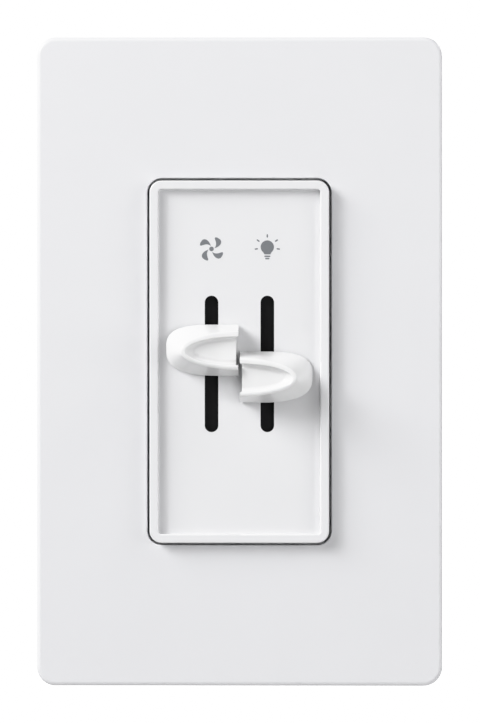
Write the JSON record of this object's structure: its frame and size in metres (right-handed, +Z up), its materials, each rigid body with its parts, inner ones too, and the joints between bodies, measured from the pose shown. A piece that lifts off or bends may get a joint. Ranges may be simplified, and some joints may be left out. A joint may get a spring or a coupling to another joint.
{
  "type": "dimmer slide switch",
  "caption": "Flush twin slide dimmer with a recessed face, two scooped slide knobs in vertical slots and a push-fit screwless wall plate, built on a metal yoke with a back box of electronics.",
  "frame": {"origin": "middle of the device on the wall's surface, midway between the two mounting screws", "axes": "+Z up along the slides, +Y into the wall, so the face looks along -Y and +X is to the right of a person facing it"},
  "size_m": [0.0746, 0.0468, 0.1194],
  "materials": {
    "plate_white": "smooth semi-gloss moulded thermoplastic",
    "bezel_white": "smooth gloss moulded thermoplastic",
    "knob_white": "polished gloss moulded thermoplastic",
    "shield_black": "matt black sheet",
    "adapter_white": "matt moulded thermoplastic",
    "yoke_aluminium": "stamped and brushed",
    "screw_zinc": "bright zinc plate",
    "retainer_fibre": "red vulcanised fibre",
    "ground_green": "green dyed zinc plate",
    "carriage_nylon": "natural nylon",
    "case_steel": "tin plate",
    "base_phenolic": "brown phenolic paper laminate",
    "contact_metal": "bright phosphor bronze",
    "track_carbon": "printed carbon",
    "board_green": "solder mask on glass laminate",
    "epoxy_black": "moulded epoxy",
    "insulator_grey": "filled silicone pad",
    "rivet_aluminium": "plain",
    "ferrite": "dark sintered ferrite",
    "wire_enamel": "enamelled copper",
    "capacitor_grey": "potted box",
    "capacitor_yellow": "potted box",
    "capacitor_green": "dipped epoxy",
    "resistor_tan": "coated film",
    "diac_blue": "glass body",
    "varistor_blue": "epoxy coated disc",
    "fuse_ceramic": "ceramic tube",
    "housing_grey": "dark thermoset",
    "terminal_brass": "plain brass"
  },
  "bodies": {
    "device": {"wallplate_adapter": "adapter_white", "adapter_screws": "screw_zinc", "bezel": "bezel_white", "fan_switch_case": "case_steel", "light_control_case": "case_steel", "fan_switch_base": "base_phenolic", "light_track_base": "base_phenolic", "fan_fixed_contacts": "contact_metal", "light_tracks": "track_carbon", "airgap_leaf": "contact_metal", "airgap_contact": "contact_metal", "yoke": "yoke_aluminium", "mounting_screws": "screw_zinc", "screw_retainers": "retainer_fibre", "ground_screw": "ground_green", "circuit_board": "board_green", "triac": "epoxy_black", "triac_insulator": "insulator_grey", "triac_rivet": "rivet_aluminium", "choke_core": "ferrite", "choke_winding": "wire_enamel", "fan_capacitor_large": "capacitor_grey", "fan_capacitor_small": "capacitor_grey", "noise_capacitor": "capacitor_yellow", "timing_capacitor": "capacitor_green", "diac": "diac_blue", "resistors": "resistor_tan", "varistor": "varistor_blue", "fuse": "fuse_ceramic", "terminal_plates": "terminal_brass", "terminal_screws": "terminal_brass", "back_housing": "housing_grey", "housing_screws": "screw_zinc"},
    "cover": {"wallplate": "plate_white"},
    "fan_slider": {"fan_knob": "knob_white", "fan_carriage": "carriage_nylon", "fan_dust_shield": "shield_black", "fan_lever": "carriage_nylon", "fan_contact_bridge": "contact_metal"},
    "light_slider": {"light_knob": "knob_white", "light_carriage": "carriage_nylon", "light_dust_shield": "shield_black", "light_lever": "carriage_nylon", "light_wiper": "contact_metal"}
  },
  "joints": [
    {"name": "fan_slide", "type": "slide", "parent": "device", "child": "fan_slider", "axis": [0, 0, 1], "range_m": [-0.01139, 0.00661]},
    {"name": "light_slide", "type": "slide", "parent": "device", "child": "light_slider", "axis": [0, 0, 1], "range_m": [-0.00645, 0.01155]},
    {"name": "wallplate_pull_off", "type": "slide", "parent": "device", "child": "cover", "axis": [0, -1, 0], "range_m": [0, 0.03]}
  ]
}
